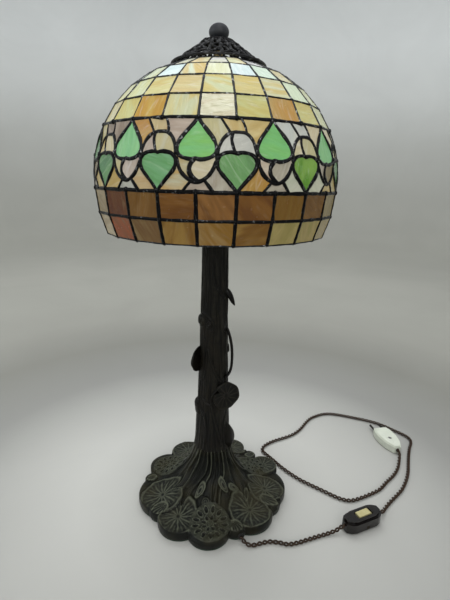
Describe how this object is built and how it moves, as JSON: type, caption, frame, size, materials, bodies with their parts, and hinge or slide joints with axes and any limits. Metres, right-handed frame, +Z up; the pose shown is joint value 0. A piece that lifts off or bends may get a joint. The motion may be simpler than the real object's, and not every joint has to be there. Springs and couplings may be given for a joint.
{
  "type": "table lamp",
  "caption": "Table lamp with a leaded art glass dome shade on a cast tree trunk stem and lily pad base, with corded in-line switch and plug.",
  "frame": {"origin": "centre of the underside of the base, on the trunk axis, at table height", "axes": "+Z up along the trunk, -Y the front of the lamp, +X to the right seen from the front"},
  "size_m": [0.5346, 0.3706, 0.6491],
  "materials": {
    "felt": "felt",
    "steel": "satin",
    "patina_metal": "dark green-black patina",
    "brass": "satin",
    "phenolic": "satin",
    "porcelain": "glazed",
    "bulb_glass": "frosted",
    "bulb_metal": "satin",
    "glass_pale": "opalescent",
    "glass_amber_light": "opalescent",
    "glass_amber_dark": "opalescent",
    "glass_green_light": "opalescent",
    "glass_green_dark": "opalescent",
    "glass_white": "opalescent",
    "solder": "black patina",
    "black_metal": "satin",
    "cord_fabric": "braided",
    "black_gloss": "gloss",
    "cream_plastic": "gloss",
    "white_plastic": "satin",
    "black_plastic": "satin",
    "pin_metal": "dark"
  },
  "bodies": {
    "root": {"base_felt": "felt", "bottom_plate": "steel", "base_casting": "patina_metal", "base_washer": "steel", "base_nut": "brass", "trunk_casting": "patina_metal", "lily_vine": "patina_metal", "trunk_collar": "brass", "lamp_pipe": "brass", "inner_wire": "cord_fabric", "cord_bushing": "black_plastic", "cluster_body": "brass", "cluster_arms": "brass", "socket_shells": "phenolic", "socket_insulators": "porcelain", "socket_liners": "brass", "socket_contacts": "brass", "shade_lock_nut": "brass", "shade_washer": "brass", "cord_base_to_switch": "cord_fabric", "cord_switch_to_plug": "cord_fabric", "switch_front_shell": "black_gloss", "switch_back_shell": "black_gloss", "rocker_pin": "steel", "switch_contacts": "brass", "switch_screw": "steel", "plug_base": "white_plastic", "plug_cover": "white_plastic", "plug_pins": "pin_metal", "plug_screw": "steel", "plug_grommet": "black_plastic"},
    "shade": {"glass_row_1": "glass_pale", "glass_row_2": "glass_pale", "glass_row_3": "glass_amber_light", "glass_row_4": "glass_amber_light", "glass_row_5": "glass_amber_dark", "glass_row_6": "glass_amber_dark", "hearts_upper": "glass_green_light", "hearts_lower": "glass_green_dark", "arch_glass": "glass_white", "background_glass": "glass_white", "small_glass": "glass_white", "solder_rings": "solder", "solder_seams": "solder", "solder_heart_band": "solder", "vented_cap": "black_metal"},
    "finial": {"finial": "black_metal"},
    "bulb_left": {"bulb_left_glass": "bulb_glass", "bulb_left_cap": "bulb_metal"},
    "bulb_right": {"bulb_right_glass": "bulb_glass", "bulb_right_cap": "bulb_metal"},
    "rocker": {"switch_rocker": "cream_plastic"}
  },
  "joints": [
    {"name": "shade_lift", "type": "slide", "parent": "root", "child": "shade", "axis": [0, 0, 1], "range_m": [0, 0.26]},
    {"name": "finial_unscrew", "type": "hinge", "parent": "shade", "child": "finial", "pos_m": [0, 0, 0.64], "axis": [0, 0, 1], "range_deg": [0, 2880]},
    {"name": "bulb_left_unscrew", "type": "hinge", "parent": "root", "child": "bulb_left", "pos_m": [-0.038, 0, 0.49], "axis": [0, 0, 1], "range_deg": [0, 1080]},
    {"name": "bulb_right_unscrew", "type": "hinge", "parent": "root", "child": "bulb_right", "pos_m": [0.038, 0, 0.49], "axis": [0, 0, 1], "range_deg": [0, 1080]},
    {"name": "switch_rock", "type": "hinge", "parent": "root", "child": "rocker", "pos_m": [0.21839, -0.07343, 0.014], "axis": [0.3811, -0.9245, 0], "range_deg": [0, 12]}
  ]
}
